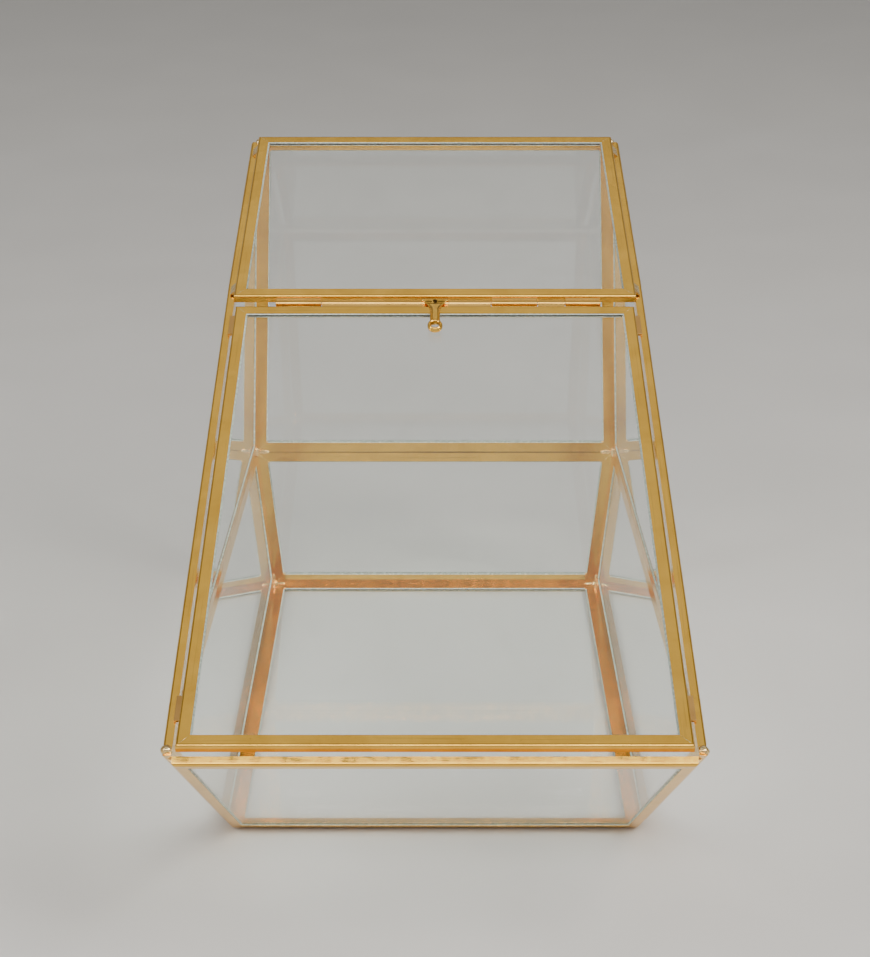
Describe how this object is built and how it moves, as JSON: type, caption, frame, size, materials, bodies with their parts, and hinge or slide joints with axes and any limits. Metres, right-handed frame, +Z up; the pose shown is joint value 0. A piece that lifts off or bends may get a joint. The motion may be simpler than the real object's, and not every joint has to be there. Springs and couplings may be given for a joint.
{
  "type": "jewelry box",
  "caption": "Geometric display box of clear flat glass panes in soldered brass cames, with a sloping hinged front lid and a small pull tab.",
  "frame": {"origin": "middle of the footprint's bounding box, on the surface that the box stands on", "axes": "+Z up, -Y towards the sloping front lid, +X to the right seen from the front"},
  "size_m": [0.1654, 0.2828, 0.199],
  "materials": {
    "glass": "clear",
    "came_brass": "polished",
    "hinge_brass": "drawn tube",
    "cast_brass": "cast and polished",
    "solder": "dull solder"
  },
  "bodies": {
    "case": {"back_lower_came_bottom": "came_brass", "back_lower_came_left": "came_brass", "back_lower_came_right": "came_brass", "back_lower_came_top": "came_brass", "back_lower_glass": "glass", "back_upper_came_bottom": "came_brass", "back_upper_came_left": "came_brass", "back_upper_came_right": "came_brass", "back_upper_came_top": "came_brass", "back_upper_glass": "glass", "base_came_back": "came_brass", "base_came_front": "came_brass", "base_came_left": "came_brass", "base_came_right": "came_brass", "base_glass": "glass", "front_came_bottom": "came_brass", "front_came_left": "came_brass", "front_came_right": "came_brass", "front_came_top": "came_brass", "front_glass": "glass", "hinge_knuckle_left": "hinge_brass", "hinge_knuckle_middle": "hinge_brass", "hinge_knuckle_right": "hinge_brass", "hinge_pin": "hinge_brass", "left_lower_came_back": "came_brass", "left_lower_came_bottom": "came_brass", "left_lower_came_front": "came_brass", "left_lower_came_top": "came_brass", "left_lower_glass": "glass", "left_upper_came_back": "came_brass", "left_upper_came_bottom": "came_brass", "left_upper_came_front": "came_brass", "left_upper_came_top": "came_brass", "left_upper_glass": "glass", "lid_rests": "came_brass", "right_lower_came_back": "came_brass", "right_lower_came_bottom": "came_brass", "right_lower_came_front": "came_brass", "right_lower_came_top": "came_brass", "right_lower_glass": "glass", "right_upper_came_back": "came_brass", "right_upper_came_bottom": "came_brass", "right_upper_came_front": "came_brass", "right_upper_came_top": "came_brass", "right_upper_glass": "glass", "solder_tacks": "solder", "top_came_back": "came_brass", "top_came_front": "came_brass", "top_came_left": "came_brass", "top_came_right": "came_brass", "top_glass": "glass"},
    "lid": {"lid_came_front": "came_brass", "lid_came_hinge": "came_brass", "lid_came_left": "came_brass", "lid_came_right": "came_brass", "lid_glass": "glass", "lid_knuckle_long": "hinge_brass", "lid_knuckle_short": "hinge_brass", "pull_tab": "cast_brass"}
  },
  "joints": [
    {"name": "lid_hinge", "type": "hinge", "parent": "case", "child": "lid", "pos_m": [0, 0.03905, 0.1619], "axis": [-1, 0, 0], "range_deg": [0, 118]}
  ]
}
